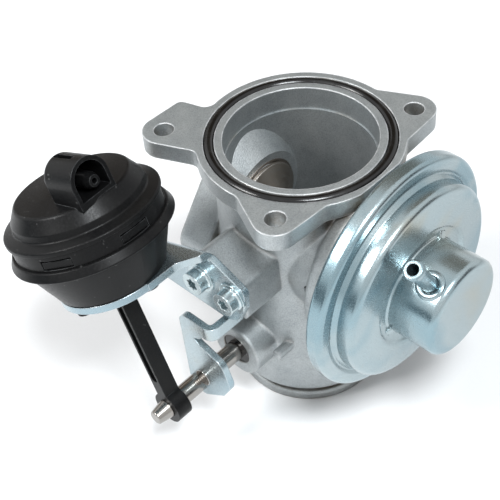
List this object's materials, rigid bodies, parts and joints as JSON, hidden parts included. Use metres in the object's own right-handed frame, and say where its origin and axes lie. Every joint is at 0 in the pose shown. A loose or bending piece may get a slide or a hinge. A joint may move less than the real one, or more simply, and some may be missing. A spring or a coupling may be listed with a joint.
{
  "type": "exhaust gas recirculation valve",
  "caption": "Cast duct with a vacuum-lifted poppet valve for recirculated exhaust gas and a shut-off flap turned by a vacuum capsule through a rod and crank lever.",
  "frame": {"origin": "centre of the duct's bore on the face of the top flange", "axes": "+Z out of the duct's top flange, +X along the steel vacuum unit, -Y along the flap shaft to its lever"},
  "size_m": [0.128, 0.1398, 0.1322],
  "materials": {
    "cast_housing": "sand cast, machined faces",
    "black_rubber": "smooth",
    "zinc_steel": "zinc plated, light blue",
    "screw_steel": "zinc plated",
    "bright_steel": "turned, bright",
    "valve_steel": "heat resistant, dull",
    "spring_steel": "drawn wire",
    "bronze_bush": "sintered",
    "black_plastic": "glass filled, soft sheen"
  },
  "bodies": {
    "valve_housing": {"housing": "cast_housing", "flange_oring": "black_rubber", "valve_seat_ring": "valve_steel", "valve_guide": "bronze_bush", "stem_seal": "black_rubber", "actuator_base": "zinc_steel", "actuator_shell": "zinc_steel", "actuator_nipple": "zinc_steel", "base_screws": "screw_steel", "actuator_diaphragm": "black_rubber", "actuator_spring": "spring_steel", "shaft_bush_front": "bronze_bush", "shaft_seal": "black_rubber", "shaft_bush_rear": "bronze_bush", "shaft_plug": "bright_steel", "capsule_shell": "black_plastic", "capsule_cap": "black_plastic", "capsule_diaphragm": "black_rubber", "capsule_spring": "spring_steel", "capsule_bracket": "zinc_steel", "bracket_screws": "screw_steel"},
    "valve": {"egr_valve": "valve_steel", "actuator_washer": "bright_steel", "actuator_piston": "bright_steel"},
    "flap": {"flap_shaft": "bright_steel", "flap_disc": "valve_steel", "flap_screws": "screw_steel", "flap_lever": "zinc_steel", "crank_pin": "bright_steel"},
    "rod": {"pull_rod": "black_plastic"},
    "capsule_plunger": {"capsule_piston": "black_plastic"}
  },
  "joints": [
    {"name": "valve_lift", "type": "slide", "parent": "valve_housing", "child": "valve", "axis": [1, 0, 0], "range_m": [0, 0.006], "stiffness_N_per_m": 3000, "springref_m": -0.008, "deforming": ["actuator_spring", "actuator_diaphragm"]},
    {"name": "flap_turn", "type": "hinge", "parent": "valve_housing", "child": "flap", "pos_m": [0, 0, -0.075], "axis": [0, 1, 0], "range_deg": [0, 80], "stiffness_Nm_per_rad": 0.05, "springref_deg": -53.29},
    {"name": "rod_swing", "type": "hinge", "parent": "flap", "child": "rod", "pos_m": [-0.00371, -0.0682, -0.08094], "axis": [0, 1, 0], "range_deg": [-80.5, 0.5]},
    {"name": "capsule_stroke", "type": "slide", "parent": "valve_housing", "child": "capsule_plunger", "axis": [-0.3584, 0, 0.9336], "range_m": [0, 0.0091], "deforming": ["capsule_spring", "capsule_diaphragm"]}
  ],
  "couplings": [
    {"joint": "rod_swing", "follows": "flap_turn", "ratio": -1},
    {"joint": "capsule_stroke", "follows": "flap_turn", "m_per_rad": 0.00643}
  ]
}
